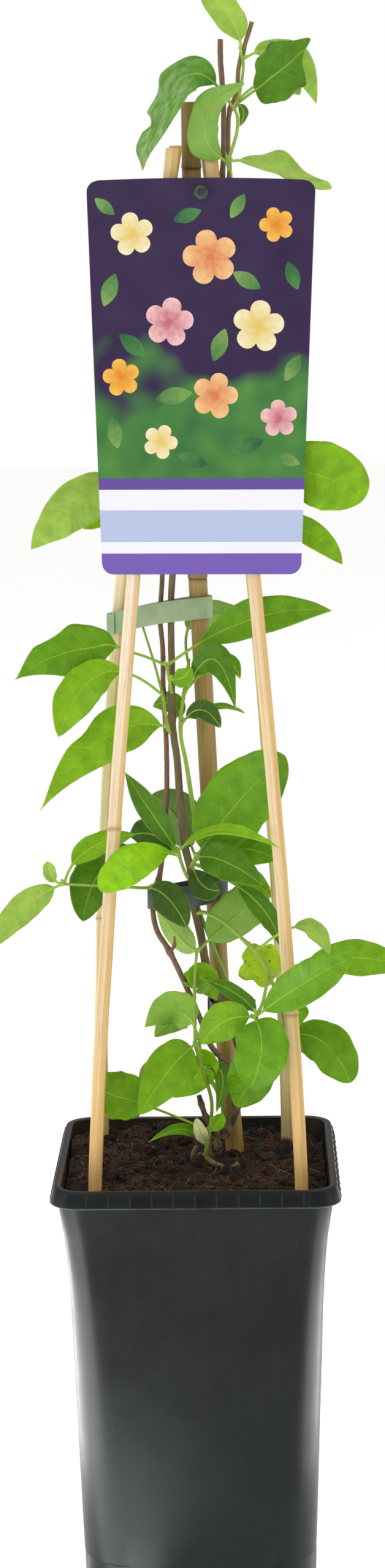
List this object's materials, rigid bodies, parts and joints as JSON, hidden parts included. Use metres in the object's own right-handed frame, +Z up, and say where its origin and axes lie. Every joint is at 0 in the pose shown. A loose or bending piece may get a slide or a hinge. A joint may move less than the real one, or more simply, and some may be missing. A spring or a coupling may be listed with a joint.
{
  "type": "honeysuckle vine in a pot",
  "caption": "Young climbing honeysuckle in a tall square nursery pot, tied to a wigwam of split canes round a thicker cane, with a tapered hang label.",
  "frame": {"origin": "middle of the square footprint of the pot, on the plane it stands on", "axes": "+Z up along the plant, -Y towards the face of the label, +X to the right seen from the front"},
  "size_m": [0.1925, 0.13, 0.7214],
  "materials": {
    "pot": "satin",
    "soil": "matte",
    "stake": "satin",
    "cane": "satin",
    "wood": "matte",
    "tape": "satin",
    "label": "satin",
    "rivet": "satin",
    "leaf": "satin"
  },
  "bodies": {
    "root": {"pot": "pot", "soil": "soil", "stake_front_left": "stake", "stake_front_right": "stake", "stake_back_left": "stake", "stake_back_right": "stake", "centre_cane": "cane", "woody_stems": "wood", "top_tie": "tape", "tie_upper": "tape", "tie_middle": "tape", "tie_lower": "tape", "label": "label", "label_rivet": "rivet", "shoot_top_front": "leaf", "shoot_top_back": "leaf", "shoot_label_high": "leaf", "shoot_label_low": "leaf", "shoot_upper": "leaf", "shoot_upper_mid": "leaf", "shoot_middle_right": "leaf", "shoot_cluster_left": "leaf", "shoot_cluster_right": "leaf", "shoot_side_left": "leaf", "shoot_hanging": "leaf", "shoot_low_left": "leaf", "shoot_low_back": "leaf", "shoot_base": "leaf"}
  },
  "joints": []
}
